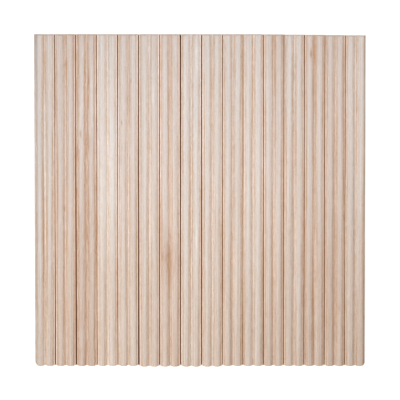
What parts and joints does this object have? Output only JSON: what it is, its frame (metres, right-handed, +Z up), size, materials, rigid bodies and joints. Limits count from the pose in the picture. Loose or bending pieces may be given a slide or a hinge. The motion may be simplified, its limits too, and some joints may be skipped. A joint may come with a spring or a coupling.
{
  "type": "tambour wall panel",
  "caption": "Square panel of reeded pale hardwood slats laid side by side on a canvas backing, used as textured wall lining.",
  "frame": {"origin": "centre of the underside, on the surface that the panel lies on", "axes": "+X across the slats to the right, +Y along the slats from foot to head, +Z up out of the reeded face"},
  "size_m": [0.5942, 0.61, 0.0104],
  "materials": {
    "slat_wood": "sanded, unfinished pale hardwood",
    "canvas": "plain woven cotton canvas, glue-sized"
  },
  "bodies": {
    "root": {"slat_01": "slat_wood", "slat_02": "slat_wood", "slat_03": "slat_wood", "slat_04": "slat_wood", "slat_05": "slat_wood", "slat_06": "slat_wood", "slat_07": "slat_wood", "slat_08": "slat_wood", "slat_09": "slat_wood", "slat_10": "slat_wood", "slat_11": "slat_wood", "slat_12": "slat_wood", "slat_13": "slat_wood", "slat_14": "slat_wood", "slat_15": "slat_wood", "slat_16": "slat_wood", "canvas_backing": "canvas"}
  },
  "joints": []
}
